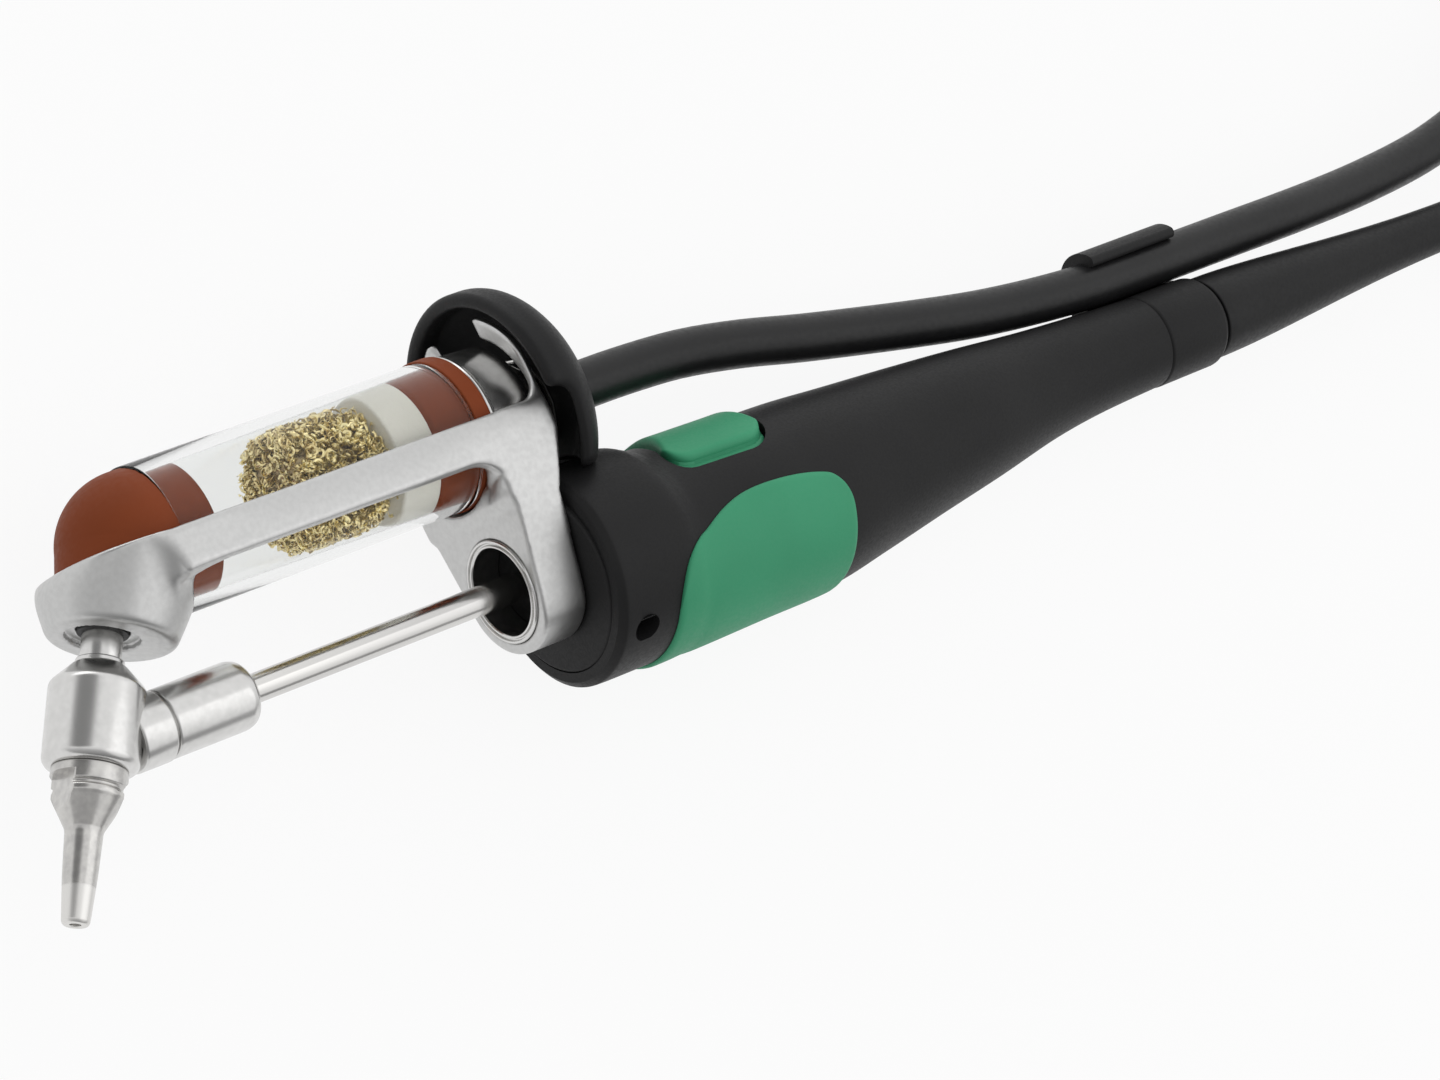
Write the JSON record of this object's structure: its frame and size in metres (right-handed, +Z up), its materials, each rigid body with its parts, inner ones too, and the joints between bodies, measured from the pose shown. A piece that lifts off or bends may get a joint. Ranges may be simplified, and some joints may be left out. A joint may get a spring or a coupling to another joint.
{
  "type": "vacuum desoldering iron",
  "caption": "Vacuum desoldering iron: angled hollow nozzle, glass solder collector on a die-cast arm, suction hood, straight handle with trigger and grip, cords tied in a hank.",
  "frame": {"origin": "centre of the handpiece's own box, without its cords, on the bench it lies on", "axes": "+X from the nozzle towards the cords, +Y towards the collector on top of the tool, +Z up from the bench (the tool's left side is up)"},
  "size_m": [0.5412, 0.0624, 0.0336],
  "materials": {
    "satin_nickel": "satin nickel plate with fine turning marks",
    "nozzle_plating": "iron-plated nozzle, tinned and dulled at the tip",
    "die_cast": "tumbled die-casting, satin",
    "polished_nickel": "polished nickel",
    "drawn_steel": "drawn stainless tube and wire",
    "red_silicone": "moulded silicone, semi-matte",
    "clear_glass": "clear drawn glass",
    "brass_turnings": "crinkled brass turnings",
    "white_felt": "pressed fibre filter",
    "black_plastic": "fine-textured moulding",
    "green_soft": "soft-touch moulding",
    "black_rubber": "satin jacket",
    "hose_rubber": "smooth silicone hose",
    "black_webbing": "hook-and-loop webbing",
    "black_screw": "black oxide",
    "gold_contacts": "gold flash"
  },
  "bodies": {
    "handpiece": {"desoldering_nozzle": "nozzle_plating", "heater_head": "satin_nickel", "heater_socket": "satin_nickel", "suction_stub": "satin_nickel", "heater_stem": "drawn_steel", "contact_block": "black_plastic", "tool_frame": "die_cast", "stub_grommet": "black_rubber", "boss_bush": "satin_nickel", "front_seal": "red_silicone", "bell_spring": "drawn_steel", "suction_hood": "black_plastic", "hose_nipple": "polished_nickel", "handle_body": "black_plastic", "front_cap": "black_plastic", "side_screws": "black_screw", "finger_grip": "green_soft", "trigger_spring": "drawn_steel", "micro_switch": "black_plastic", "rear_cuff": "black_plastic", "hose_clip": "black_plastic", "strain_relief": "black_rubber", "power_cable": "black_rubber", "cable_hank": "black_rubber", "cable_tail": "black_rubber", "suction_hose": "hose_rubber", "hose_hank": "hose_rubber", "hose_tail": "hose_rubber", "hank_tie": "black_webbing", "plug_body": "black_plastic", "plug_ring": "polished_nickel", "plug_pins": "gold_contacts", "hose_fitting": "polished_nickel"},
    "collector": {"glass_tube": "clear_glass", "rear_seal": "red_silicone", "brass_wool": "brass_turnings", "felt_filter": "white_felt", "suction_bell": "polished_nickel"},
    "trigger": {"trigger_button": "green_soft"}
  },
  "joints": [
    {"name": "collector_slide", "type": "slide", "parent": "handpiece", "child": "collector", "axis": [1, 0, 0], "range_m": [0, 0.0045], "stiffness_N_per_m": 900, "springref_m": -0.002, "deforming": ["bell_spring"]},
    {"name": "trigger_press", "type": "slide", "parent": "handpiece", "child": "trigger", "axis": [0, -1, 0], "range_m": [0, 0.0012], "stiffness_N_per_m": 800, "springref_m": -0.001, "deforming": ["trigger_spring"]}
  ]
}
